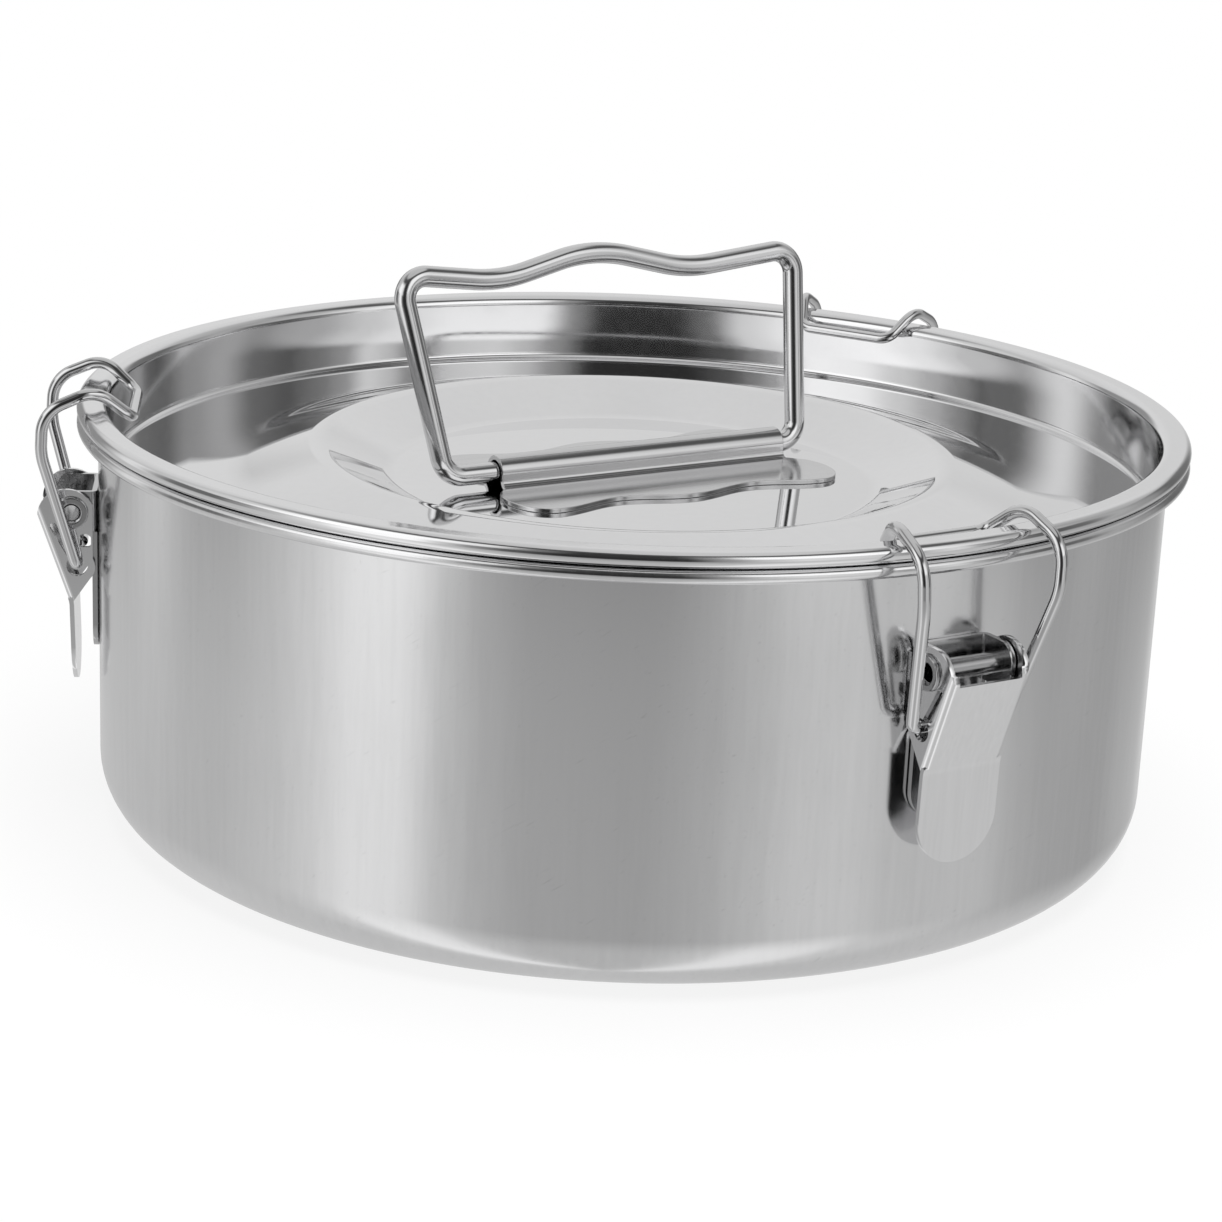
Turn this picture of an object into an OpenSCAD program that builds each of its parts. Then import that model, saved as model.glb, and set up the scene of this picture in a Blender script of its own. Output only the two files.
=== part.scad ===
// Round flan mold: a straight pan, a sunk lid with a folding handle, and three
// toggle latches that pull the lid down onto the pan. All lengths in millimetres.
// The origin is the centre of the base, on the surface that the pan stands on.

/* [Pan] */
// Outside diameter of the pan wall
pan_d = 192.6; // [160:0.2:230]
// Height of the pan, up to the top of its rim
pan_h = 73.2; // [64:0.2:100]
// Thickness of the pan sheet
pan_t = 0.7; // [0.5:0.05:0.9]
// Outside radius where the base turns up into the wall
base_r = 11; // [6:0.5:16]

/* [Rolled rims] */
// How far the rims of pan and lid stand out from the pan wall
rim_out = 3.7; // [3.2:0.1:4.6]
// Height of the rolled pan rim
pan_rim_h = 2.3; // [2.1:0.05:2.8]
// Height of the rolled lid rim
lid_rim_h = 2.8; // [2.5:0.05:3.2]
// Gap between the curled-in edge of a rim and the pan wall
rim_tuck = 0.8; // [0.4:0.1:1.2]
// Gap between the two rims
rim_gap = 0.1; // [0:0.05:0.2]
// Bend radius where the pan's wall meets its rim
pan_rim_bend = 1.05; // [0.6:0.05:1.4]
// Bend radius where the lid's wall meets its rim
lid_rim_bend = 1.65; // [0.8:0.05:2.2]

/* [Lid] */
// Thickness of the lid sheet
lid_t = 0.7; // [0.5:0.05:0.9]
// Radial gap between the lid's sunk wall and the inside of the pan
lid_gap = 0.4; // [0.3:0.1:1]
// Depth of the lid's floor below the top of its rim, at the foot of the wall
recess_depth = 13.1; // [9:0.1:20]
// Radius of the crest of the raised ring
ring_r = 57.3; // [53:0.1:62]
// Height of the ring's crest above the foot of the wall
ring_h = 4.6; // [3:0.1:5.5]
// Width of the steep outer side of the ring
ring_step_w = 4.2; // [3:0.1:8]
// Drop over the steep outer side of the ring
ring_step_h = 2.3; // [1:0.1:2.6]
// Radius of the flat disc inside the ring
disc_r = 45.3; // [43:0.1:49]
// How far the disc lies below the foot of the wall
disc_drop = 0.9; // [0:0.1:1.5]
// Bend radius at the foot of the lid's wall
lid_foot_bend = 1.15; // [0.6:0.05:2.5]
// Bend radius over the crest of the ring
crest_bend = 1.4; // [0.8:0.1:2]
// Bend radius at the foot of the ring's steep side
ring_foot_bend = 4; // [1:0.1:5]
// Bend radius where the ring rises from the disc
disc_bend = 2.5; // [1:0.1:5]

/* [Handle strap] */
// Thickness of the strap sheet
strap_t = 0.85; // [0.6:0.05:1]
// Length of the barrel that holds the bail
barrel_l = 60; // [48:0.5:62]
// Width of the strap across its lobes
strap_w = 34; // [28:0.2:38]
// How much narrower the strap is at its waists
waist_cut = 6; // [1:0.1:8]
// How far the end lobes reach past the barrel
lobe_reach = 3.8; // [2:0.1:4.5]
// Radial gap between the barrel and the bail
barrel_gap = 0.3; // [0.2:0.05:0.4]
// Gap between the bail's hinge rod and the lid's disc
hinge_lift = 0.8; // [0.5:0.05:1.2]
// Bend radius where the strap's barrel meets its feet
strap_bend = 1.4; // [0.8:0.1:1.8]
// Direction of the handle, turned from the X axis
handle_az = 31.5; // [0:0.5:90]
// Sideways place of the handle's centre
handle_x = 1.1; // [-3:0.1:3]
// Front-to-back place of the handle's centre
handle_y = 2.8; // [-3:0.1:3]

/* [Handle bail] */
// Diameter of the bail wire
bail_d = 3.8; // [3:0.1:4.2]
// Distance between the lower corners of the bail, wire centre to wire centre
bail_w = 74.5; // [72:0.5:78]
// Distance between the upper corners of the bail
bail_top_w = 82.7; // [74:0.1:86]
// Height of the bail's upper corners above its hinge line
bail_h = 36.2; // [28:0.1:44]
// How deep the grip dips on each side of its middle
bail_dip = 2.4; // [0:0.1:4]
// How high the middle of the grip arches above its corners
bail_arch = 2.4; // [0:0.1:4]
// Bend radius of the bail's corners, at the wire centre
bail_corner_r = 4; // [3:0.1:4.4]
// Bend radius of the waves in the grip, at the wire centre
grip_bend = 30; // [15:1:40]
// How far the bail sits off the strap's middle, along the strap
bail_slide = -2.75; // [-3:0.05:3]
// How far the bail's top stands off its foot, along the strap
bail_skew = -2.1; // [-4:0.1:4]
// How far the middle wave of the grip stands off the bail's top
grip_slide = -2; // [-4:0.1:4]
// How far the bail leans back at rest, from upright
bail_lean = 12; // [0:1:25]

/* [Latch places] */
// Direction of the front latch
front_az = 302.5; // [290:0.1:315]
// Direction of the rear latch
rear_az = 61.7; // [50:0.1:75]
// Direction of the left latch
left_az = 186.6; // [175:0.1:200]

/* [Latch bracket] */
// Thickness of the bracket sheet
bracket_t = 0.9; // [0.7:0.05:1]
// Width across the bracket's ears
bracket_w = 13.3; // [12:0.1:16]
// Height of the bracket, ears and plate together
bracket_h = 29.9; // [24:0.1:40]
// Depth of the bracket's top edge below the top of the pan
bracket_drop = 14; // [12:0.1:18]
// Height of the ears
ear_h = 7.5; // [7:0.1:9]
// How far the ears stand out from the bracket's back
ear_out = 8.05; // [7.6:0.05:8.6]
// Radius of the ears' front corners
ear_r = 3.2; // [1:0.1:3.4]
// Radius of the plate's lower corners
plate_r = 5; // [2:0.1:6]
// Bend radius between the bracket's plate and its ears
bracket_bend = 0.85; // [0.6:0.05:1.2]
// Gap between the bracket's back and the pan wall
plate_gap = 0.05; // [0:0.01:0.1]

/* [Latch pin] */
// Distance of the pin's axis from the pan wall
pivot_out = 4.5; // [4.3:0.05:4.8]
// Depth of the pin's axis below the bracket's top edge
pivot_drop = 3.65; // [3.5:0.05:4]
// Outside diameter of the pin
pin_d = 3.6; // [3:0.1:4]
// Diameter of the hole through the pin
pin_bore = 2.8; // [1.6:0.1:2.9]
// Diameter of the pin's heads
pin_head_d = 6; // [5:0.1:6.6]
// Thickness of the pin's heads
pin_head_t = 0.6; // [0.4:0.05:0.7]
// Radial gap between the pin and the holes that turn on it
pin_run = 0.06; // [0.03:0.01:0.1]
// Radial gap between the pin and the bracket's ears
pin_seat = 0.03; // [0.01:0.01:0.05]

/* [Latch lever] */
// Thickness of the lever sheet
lever_t = 0.8; // [0.6:0.05:0.9]
// Gap at each side between an ear and the lever
lever_side_gap = 0.25; // [0.15:0.05:0.3]
// Distance of the lever's front face from the pin's axis
front_off = 5.95; // [5.7:0.05:6.3]
// Lean of the front face from upright
front_lean = 19.2; // [16:0.2:22]
// Depth of the fold under the front face, below the pin's axis
fold_drop = 16.65; // [15.5:0.05:18]
// Length of the finger tab below the fold
tab_l = 16.3; // [10:0.1:22]
// Lean of the finger tab from upright
tab_lean = 1.5; // [0:0.1:12]
// Radius of the fold between front face and tab
fold_r = 4; // [2:0.1:6]
// Radius of the arched top of the lever's sides
arch_r = 5.2; // [5:0.05:5.3]
// Bend radius between the lever's front and its sides
lever_bend = 0.75; // [0.6:0.05:1.2]
// Depth of the front plate's top edge below the pin's axis
front_top = 1; // [0:0.1:3]
// Depth of the lever's sides behind its front face
side_depth = 14; // [12:0.5:18]
// Gap between the lever's sides and the pan wall
side_gap = 0.8; // [0.5:0.05:1]
// Radius of the eye round the pin
eye_r = 3.6; // [3:0.1:3.8]

/* [Wire loop] */
// Diameter of the loop wire
loop_d = 2.1; // [1.6:0.1:2.2]
// Depth of the loop's hinge line below the pin's axis
loop_drop = 9.25; // [9:0.05:10]
// Extra radius of the keyhole around the wire
key_slack = 0.85; // [0.4:0.05:0.9]
// Width of the slot that leads the wire into its keyhole
key_slot_w = 1.3; // [0.8:0.1:1.6]
// Side gap between the lever and the legs of the loop
loop_side_gap = 0.73; // [0.65:0.01:1.2]
// How far each leg of the loop spreads on its way up
loop_spread = 4.1; // [2:0.1:6]
// Gap between the lid's rim and the wire that hooks over it
hook_gap = 2; // [1.9:0.05:3]
// Reach of the hook inside the lid's rim
hook_reach = 4.6; // [4:0.1:6]
// Height of the hook's cross piece below the top of the lid's rim
hook_drop = 2.4; // [0.5:0.1:3]
// How far the loop's legs stand out from the rims at their lower bend
knee_out = 5.6; // [5.4:0.1:7]
// Depth of the lower bend below the top of the pan
knee_drop = 5.6; // [4:0.1:8]
// How far the loop's legs stand out from the rims at their upper bend
shoulder_out = 5.2; // [5:0.1:6.6]
// Depth of the upper bend below the top of the lid's rim
shoulder_drop = 0.9; // [0:0.1:2]
// How far the top of the loop lies inside the middle of the rims
crown_in = 1.2; // [0.6:0.1:2]
// Bend radii of the loop, at the wire centre: by the lever, then up the leg and over the hook
eye_bend = 1.6; // [1.2:0.1:2]
knee_bend = 12; // [4:0.5:14]
shoulder_bend = 6; // [3:0.1:7]
crown_bend = 5; // [3:0.1:5.5]
hook_bend = 3; // [2:0.1:3.6]

/* [Hidden] */
$fn = 96;
// Segments in a rounded corner of a bent sheet
corner_steps = 7;
// Wire swells this much where it is bent, and each straight length runs this far into its bends
bend_swell = 0.01;
rod_lap = 0.1;
// Faces of one sheet that are drawn in two parts overlap by this much
sheet_lap = 0.1;
// Points of an outline that lie closer than this count as one
same_point = 0.002;

// Pan, rims and lid
wall_r = pan_d / 2;
pan_in_r = wall_r - pan_t;
rim_r = wall_r + rim_out;
curl_end_r = wall_r + rim_tuck;
lid_rim_z = pan_h + rim_gap;
lid_top = lid_rim_z + lid_rim_h;
lid_wall_r = pan_in_r - lid_gap;
lid_in_r = lid_wall_r - lid_t;
floor_z = lid_top - recess_depth;
disc_z = floor_z - disc_drop;

// Handle
hinge_z = disc_z + bail_d / 2 + hinge_lift;
barrel_in_r = bail_d / 2 + barrel_gap;
barrel_mid_r = barrel_in_r + strap_t / 2;
barrel_out_r = barrel_in_r + strap_t;
// Distance from one lobe of the strap to the next
lobe_pitch = 0.92 * barrel_l / 2;
// The end lobes stop this far from the barrel's middle line
lobe_in = barrel_out_r + 0.25;

// Latch, in its own frame: X away from the pan's axis, Y along the rim, Z up
bracket_x = wall_r + plate_gap;
bracket_top = pan_h - bracket_drop;
pivot = [wall_r + pivot_out, bracket_top - pivot_drop];
pin_r = pin_d / 2;
lever_in = bracket_w / 2 + lever_side_gap;
lever_out = lever_in + lever_t;
head_in = lever_out + 0.06;
head_out = head_in + pin_head_t;
back_x = wall_r + side_gap;
front_dir = [sin(front_lean), cos(front_lean)];
front_out = [cos(front_lean), -sin(front_lean)];
// The fold lies on the front face, fold_drop below the pin
fold_x = pivot[0] + (front_off - fold_drop * sin(front_lean)) / cos(front_lean);
fold = [fold_x, pivot[1] - fold_drop];
arch_c = [fold[0] + (pivot[1] - 0.95 - fold[1]) * tan(front_lean) + 0.1 - arch_r, pivot[1] - 0.95];
loop_r = loop_d / 2;
// Hinge line of the loop, just inside the line of the pin
loop_pivot = [pivot[0] - 0.9, pivot[1] - loop_drop];
key_r = loop_r + key_slack;
// The wire is drawn up to the top of its keyhole, 0.3 short of its edge
key_c = [loop_pivot[0], loop_pivot[1] - key_slack + 0.3];
nose_r = key_r + 1.2;
nose = [back_x - 0.4 + nose_r, key_c[1] - 0.2];
loop_in = lever_out + loop_side_gap;
loop_y = loop_in + loop_r;

// Rounds one corner of a path: the arc's points, from the side of a to the side of c
function unit(v) = v / norm(v);
function corner_arc(a, b, c, r) =
    let (u = unit(a - b), w = unit(c - b))
    let (half = acos(max(-1, min(1, u * w))) / 2)
    let (centre = b + unit(u + w) * (r / sin(half)), start = b + u * (r / tan(half)) - centre)
    let (turn = (180 - 2 * half) * (cross(u, w) > 0 ? -1 : 1))
    [for (i = [0 : corner_steps])
        let (g = turn * i / corner_steps)
        centre + [start[0] * cos(g) - start[1] * sin(g), start[0] * sin(g) + start[1] * cos(g)]];

// A path of [x, y, bend radius] corners, with each bend drawn as an arc
function arcs(path) = [
    for (i = [0 : len(path) - 1])
        let (p = [path[i][0], path[i][1]])
        let (ends = i == 0 || i == len(path) - 1 || path[i][2] == 0)
        let (q = ends ? [p] : corner_arc([path[i - 1][0], path[i - 1][1]], p,
            [path[i + 1][0], path[i + 1][1]], path[i][2]))
        each q];

// The same path without doubled points, where one bend ends on the start of the next
function bent(path) =
    let (pts = arcs(path))
    [for (i = [0 : len(pts) - 1])
        if (i == 0 || norm(pts[i] - pts[max(i - 1, 0)]) > same_point)
            pts[i]];

// Direction square to a path at one of its points, long enough for a mitred edge
function miter(pts, i) =
    let (n = len(pts) - 1)
    let (d1 = unit(i == 0 ? pts[1] - pts[0] : pts[i] - pts[i - 1]))
    let (d2 = unit(i == n ? pts[n] - pts[n - 1] : pts[i + 1] - pts[i]))
    let (m = unit(d1 + d2), side = [-m[1], m[0]])
    side / (side * [-d1[1], d1[0]]);

// A sheet seen on edge: the path is its middle line, or off shifts it to one side
module sheet(path, t, off = 0) {
    pts = bent(path);
    left = [for (i = [0 : len(pts) - 1]) pts[i] + miter(pts, i) * (off + t / 2)];
    right = [for (i = [len(pts) - 1 : -1 : 0]) pts[i] + miter(pts, i) * (off - t / 2)];
    polygon(concat(left, right));
}

// A flat shape drawn in X and Z, as thick as y0 to y1
module side_plate(y0, y1) {
    translate([0, y1, 0])
        rotate([90, 0, 0])
            linear_extrude(y1 - y0)
                children();
}

// A flat shape drawn in Y and Z, from x0 to x1
module front_plate(x0, x1) {
    translate([x0, 0, 0])
        rotate([90, 0, 90])
            linear_extrude(x1 - x0)
                children();
}

// A straight length of wire from a to b
module rod(a, b, r) {
    d = b - a;
    translate(a)
        rotate([0, acos(d[2] / norm(d)), atan2(d[1], d[0])])
            cylinder(h = norm(d), r = r);
}

// A bend of wire at b, between the directions of a and c, a hair thicker than the straight
module elbow(a, b, c, bend, r) {
    u = unit(a - b);
    w = unit(c - b);
    half = acos(u * w) / 2;
    centre = b + unit(u + w) * (bend / sin(half));
    e1 = unit(b + u * (bend / tan(half)) - centre);
    e3 = unit(cross(w, u));
    e2 = cross(e3, e1);
    multmatrix([[e1[0], e2[0], e3[0], centre[0]], [e1[1], e2[1], e3[1], centre[1]],
        [e1[2], e2[2], e3[2], centre[2]], [0, 0, 0, 1]])
        rotate_extrude(angle = 180 - 2 * half)
            translate([bend, 0])
                circle(r + bend_swell);
}

// How much of each side of a corner its bend takes up
function bend_len(a, b, c, bend) = bend / tan(acos(unit(a - b) * unit(c - b)) / 2);

// A bent wire through the points, with one bend radius for each corner
module wire(pts, bends, r, closed = false) {
    n = len(pts);
    last = closed ? n - 1 : n - 2;
    for (i = [0 : last]) {
        a = pts[i];
        b = pts[(i + 1) % n];
        cut_a = !closed && i == 0 ? rod_lap : bend_len(pts[(i + n - 1) % n], a, b, bends[i]);
        cut_b = !closed && i == last ? rod_lap : bend_len(a, b, pts[(i + 2) % n], bends[(i + 1) % n]);
        rod(a + unit(b - a) * (cut_a - rod_lap), b + unit(a - b) * (cut_b - rod_lap), r);
    }
    for (i = [(closed ? 0 : 1) : last])
        elbow(pts[(i + n - 1) % n], pts[i], pts[(i + 1) % n], bends[i], r);
}

// One deep-drawn sheet, with its edge rolled out and under
module pan() {
    mid = pan_in_r + pan_t / 2;
    half_t = pan_t / 2;
    fold_r = (pan_rim_h - pan_t) / 2;
    color("silver")
        rotate_extrude($fn = 240)
            sheet([[0, half_t, 0], [mid, half_t, base_r - half_t],
                [mid, pan_h - half_t, pan_rim_bend],
                [rim_r - half_t, pan_h - half_t, fold_r],
                [rim_r - half_t, pan_h - pan_rim_h + half_t, fold_r],
                [curl_end_r, pan_h - pan_rim_h + half_t, 0]], pan_t);
}

// One pressed sheet: sunk floor with a raised ring, wall, and rolled rim
module lid() {
    half_t = lid_t / 2;
    mid = lid_wall_r - half_t;
    fold_r = (lid_rim_h - lid_t) / 2;
    color("gainsboro")
        rotate_extrude($fn = 240)
            sheet([[0, disc_z - half_t, 0],
                [disc_r, disc_z - half_t, disc_bend],
                [ring_r, floor_z + ring_h - half_t, crest_bend],
                [ring_r + ring_step_w, floor_z + ring_h - ring_step_h - half_t, ring_foot_bend],
                [mid, floor_z - half_t, lid_foot_bend],
                [mid, lid_top - half_t, lid_rim_bend],
                [rim_r - half_t, lid_top - half_t, fold_r],
                [rim_r - half_t, lid_rim_z + half_t, fold_r],
                [curl_end_r, lid_rim_z + half_t, 0]], lid_t);
}

// Puts the handle's parts, drawn along X, on the lid's disc
module on_handle() {
    translate([handle_x, handle_y, 0])
        rotate([0, 0, handle_az])
            children();
}

// Plan of the strap: three lobes along each edge, and round ends beside the barrel
function lobe_edge(s) = strap_w / 2 - waist_cut / 4 * (1 - cos(360 * s / lobe_pitch));
function flip(pts, x, y) = [for (p = pts) [x * p[0], y * p[1]]];
function back(pts) = [for (i = [len(pts) - 1 : -1 : 0]) pts[i]];

module strap_plan() {
    end = barrel_l / 2;
    reach = end + lobe_reach - lobe_pitch;
    half = (strap_w / 2 - lobe_in) / 1.75;
    wave = [for (i = [1 : 12]) [lobe_pitch * i / 12, lobe_edge(lobe_pitch * i / 12)]];
    lobe = [for (g = [75 : -15 : -45])
        [lobe_pitch + reach * cos(g), strap_w / 2 - half + half * sin(g)]];
    quarter = concat(wave, lobe, [[end, lobe_in]]);
    polygon(concat([[0, strap_w / 2]], quarter, back(flip(quarter, 1, -1)), [[0, -strap_w / 2]],
        flip(quarter, -1, -1), back(flip(quarter, -1, 1))));
}

// A strip bent into an open barrel over the bail, with flat feet on the disc
module handle_strap() {
    foot_z = disc_z + strap_t / 2;
    long = barrel_l + 2 * lobe_reach + 2;
    barrel = [for (g = [180 : -15 : 0])
        [barrel_mid_r * cos(g), hinge_z + barrel_mid_r * sin(g), 0]];
    color("lightgray")
        on_handle()
            intersection() {
                translate([-long / 2, 0, 0])
                    front_plate(0, long)
                        sheet(concat([[-strap_w, foot_z, 0], [-barrel_mid_r, foot_z, strap_bend]],
                            barrel, [[barrel_mid_r, foot_z, strap_bend], [strap_w, foot_z, 0]]),
                            strap_t);
                translate([0, 0, disc_z - 1])
                    linear_extrude(hinge_z + barrel_out_r - disc_z + 2)
                        strap_plan();
            }
}

// One bent wire: hinge rod, two legs and a grip with a wavy top
module handle_bail() {
    half = bail_top_w / 2;
    // Dips lie this far from the middle wave
    dip_x = half * 0.47;
    grip_x = bail_skew + grip_slide;
    pts = [[-bail_w / 2, 0, 0], [bail_w / 2, 0, 0], [bail_skew + half, 0, bail_h],
        [grip_x + dip_x, 0, bail_h - bail_dip], [grip_x, 0, bail_h + bail_arch],
        [grip_x - dip_x, 0, bail_h - bail_dip], [bail_skew - half, 0, bail_h]];
    bends = [bail_corner_r, bail_corner_r, bail_corner_r, grip_bend, grip_bend, grip_bend,
        bail_corner_r];
    color("gray")
        on_handle()
            translate([bail_slide, 0, hinge_z])
                rotate([-bail_lean, 0, 0])
                    wire(pts, bends, bail_d / 2, closed = true);
}

// One folded sheet: a plate against the wall, and two ears at its top
module bracket() {
    half_w = bracket_w / 2;
    ear_mid = half_w - bracket_t / 2;
    plate_mid = bracket_x + bracket_t / 2;
    low = bracket_top - bracket_h;
    ear_low = bracket_top - ear_h;
    ear_x = bracket_x + ear_out;
    color("darkgray") {
        front_plate(bracket_x, bracket_x + bracket_t) {
            translate([-half_w, low + plate_r])
                square([bracket_w, bracket_h - plate_r - ear_h + sheet_lap]);
            translate([-half_w + plate_r, low])
                square([bracket_w - 2 * plate_r, plate_r + sheet_lap]);
            for (s = [-1, 1])
                translate([s * (half_w - plate_r), low + plate_r])
                    circle(plate_r);
        }
        difference() {
            intersection() {
                translate([0, 0, ear_low])
                    linear_extrude(ear_h)
                        sheet([[ear_x, ear_mid, 0], [plate_mid, ear_mid, bracket_bend],
                            [plate_mid, -ear_mid, bracket_bend], [ear_x, -ear_mid, 0]], bracket_t);
                side_plate(-half_w, half_w) {
                    translate([bracket_x, ear_low])
                        square([ear_out - ear_r, ear_h]);
                    translate([ear_x - ear_r, ear_low + ear_r])
                        square([ear_r, ear_h - 2 * ear_r]);
                    for (z = [ear_low + ear_r, bracket_top - ear_r])
                        translate([ear_x - ear_r, z])
                            circle(ear_r);
                }
            }
            translate([pivot[0], half_w + 1, pivot[1]])
                rotate([90, 0, 0])
                    cylinder(h = bracket_w + 2, r = pin_r + pin_seat);
        }
    }
}

// Hollow rivet through ears and lever, with a turned-over head at each end
module pin() {
    bore_r = pin_bore / 2;
    flare = 0.5;
    color("dimgray")
        translate([pivot[0], 0, pivot[1]])
            rotate([90, 0, 0])
                rotate_extrude()
                    polygon([[bore_r, -head_out + flare], [bore_r + flare, -head_out],
                        [pin_head_d / 2 - 0.2, -head_out], [pin_head_d / 2, -head_out + 0.2],
                        [pin_head_d / 2, -head_in], [pin_r, -head_in], [pin_r, head_in],
                        [pin_head_d / 2, head_in], [pin_head_d / 2, head_out - 0.2],
                        [pin_head_d / 2 - 0.2, head_out], [bore_r + flare, head_out],
                        [bore_r, head_out - flare]]);
}

// Outline of the lever's sides: arched top, eye round the pin, nose round the keyhole
module lever_side() {
    top_z = pivot[1] + 6;
    difference() {
        union() {
            intersection() {
                union() {
                    translate(arch_c)
                        circle(arch_r);
                    translate(pivot)
                        circle(eye_r);
                }
                translate([back_x, key_c[1]])
                    square([arch_r * 3, top_z - key_c[1]]);
            }
            polygon([[back_x, key_c[1]], [back_x, arch_c[1]], [arch_c[0] + arch_r, arch_c[1]],
                fold + front_dir * 2, fold, [nose[0], key_c[1]]]);
            translate(nose)
                circle(nose_r);
            polygon([nose + [-nose_r * 0.72, -nose_r * 0.69], fold + [-0.6, 0], fold,
                fold + front_dir * 8, nose]);
        }
        translate(pivot)
            circle(pin_r + pin_run);
        translate(key_c)
            circle(key_r);
        lever_slot(key_c, fold + front_dir * 14.2 - front_out * 2.1);
        translate([back_x + 1.3, key_c[1] + 4.7])
            window();
    }
}

// Slot with a round end, from the keyhole up to the front face
module lever_slot(a, b) {
    d = b - a;
    translate(a)
        rotate(atan2(d[1], d[0])) {
            translate([0, -key_slot_w / 2])
                square([norm(d), key_slot_w]);
            translate([norm(d), 0])
                circle(key_slot_w / 2);
        }
}

// Small rounded window behind the slot
module window() {
    r = 0.5;
    w = 2;
    h = 2.4;
    translate([-w / 2, -h / 2 + r])
        square([w, h - 2 * r]);
    translate([-w / 2 + r, -h / 2])
        square([w - 2 * r, h]);
    for (x = [-1, 1])
        for (y = [-1, 1])
            translate([x * (w / 2 - r), y * (h / 2 - r)])
                circle(r);
}

// One folded sheet: a leaning front, two pierced sides and a round finger tab
module lever() {
    mid = lever_out - lever_t / 2;
    tab_end = fold + [-sin(tab_lean), -cos(tab_lean)] * tab_l;
    // The tab's strip ends where the front plate comes straight out of the fold
    strip_end = fold + front_dir * (fold_r * tan((front_lean - tab_lean) / 2) + sheet_lap);
    // Half the opening above the front plate, a little inside the lever's bends
    top_half = lever_in - lever_bend;
    run = fold_drop + 2 * arch_r;
    color("lightsteelblue") {
        difference() {
            intersection() {
                translate([fold[0], 0, fold[1]])
                    rotate([0, front_lean, 0])
                        translate([0, 0, -lever_t])
                            linear_extrude(run)
                                sheet([[-side_depth, mid, 0], [-lever_t / 2, mid, lever_bend],
                                    [-lever_t / 2, -mid, lever_bend], [-side_depth, -mid, 0]], lever_t);
                side_plate(-lever_out, lever_out)
                    lever_side();
            }
            translate([wall_r, -top_half, pivot[1] - front_top])
                cube([2 * side_depth, 2 * top_half, run]);
        }
        intersection() {
            side_plate(-lever_out, lever_out)
                sheet([[tab_end[0], tab_end[1], 0], [fold[0], fold[1], fold_r],
                    [strip_end[0], strip_end[1], 0]], lever_t, lever_t / 2);
            front_plate(wall_r, fold[0] + lever_out) {
                translate([-lever_out, tab_end[1] + lever_out])
                    square([2 * lever_out, tab_l]);
                translate([0, tab_end[1] + lever_out])
                    circle(lever_out);
            }
        }
    }
}

// One bent wire: ends turned into the lever, legs up past the rims, and a hook over the lid
module loop() {
    hook_y = loop_y + 0.3;
    leg_y = loop_y + loop_spread;
    side = [[loop_pivot[0], lever_in - 0.4, loop_pivot[1]],
        [loop_pivot[0], loop_y, loop_pivot[1]],
        [rim_r + knee_out, leg_y - 0.35, pan_h - knee_drop],
        [rim_r + shoulder_out, leg_y, lid_top - shoulder_drop],
        [(rim_r + lid_in_r) / 2 - crown_in, leg_y - 0.9, lid_top + hook_gap + loop_r],
        [lid_in_r - hook_reach, hook_y, lid_top - hook_drop]];
    pts = concat(side, [for (i = [len(side) - 1 : -1 : 0]) [side[i][0], -side[i][1], side[i][2]]]);
    bends = [0, eye_bend, knee_bend, shoulder_bend, crown_bend, hook_bend,
        hook_bend, crown_bend, shoulder_bend, knee_bend, eye_bend, 0];
    color("slategray")
        wire(pts, bends, loop_r);
}

pan();
lid();
handle_strap();
handle_bail();
rotate([0, 0, front_az]) bracket();  // front_bracket
rotate([0, 0, front_az]) pin();  // front_pin
rotate([0, 0, front_az]) lever();  // front_lever
rotate([0, 0, front_az]) loop();  // front_loop
rotate([0, 0, rear_az]) bracket();  // rear_bracket
rotate([0, 0, rear_az]) pin();  // rear_pin
rotate([0, 0, rear_az]) lever();  // rear_lever
rotate([0, 0, rear_az]) loop();  // rear_loop
rotate([0, 0, left_az]) bracket();  // left_bracket
rotate([0, 0, left_az]) pin();  // left_pin
rotate([0, 0, left_az]) lever();  // left_lever
rotate([0, 0, left_az]) loop();  // left_loop
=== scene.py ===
# %% [markdown]
# A flan mold is a round steel pan with a sunk lid, a folding wire handle and three
# toggle latches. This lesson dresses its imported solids: it sets the camera and a studio,
# works out smooth sheet and wire surfaces, and gives every piece its own steel finish.
# The solids stay the frame that everything is placed by.

# %% Load the frame
from math import radians

import bmesh
import bpy
import numpy as np
from mathutils import Matrix, Vector


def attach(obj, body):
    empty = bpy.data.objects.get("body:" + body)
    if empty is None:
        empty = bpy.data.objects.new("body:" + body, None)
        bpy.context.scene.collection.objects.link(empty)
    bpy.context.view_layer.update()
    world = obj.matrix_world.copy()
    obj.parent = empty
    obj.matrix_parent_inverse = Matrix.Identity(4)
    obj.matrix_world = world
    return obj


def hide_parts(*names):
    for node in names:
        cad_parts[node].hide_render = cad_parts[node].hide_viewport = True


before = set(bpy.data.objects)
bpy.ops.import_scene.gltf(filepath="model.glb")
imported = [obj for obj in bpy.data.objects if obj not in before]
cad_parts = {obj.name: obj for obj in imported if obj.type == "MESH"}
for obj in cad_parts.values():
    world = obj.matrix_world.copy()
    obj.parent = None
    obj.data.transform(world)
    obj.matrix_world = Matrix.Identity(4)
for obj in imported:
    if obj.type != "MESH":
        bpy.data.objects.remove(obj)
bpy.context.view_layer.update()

MM = 0.001

# %% [markdown]
# The camera stands in front of the pan and looks down at it by 17 degrees. It could be
# aimed by eye, but fixed angles are easier to repeat: an elevation, a distance, a small
# turn and tilt that slide the pan in the frame, and a roll, because the pan leans a little
# to the right in the picture. The long focal length keeps the rim's ellipse calm.

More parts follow.
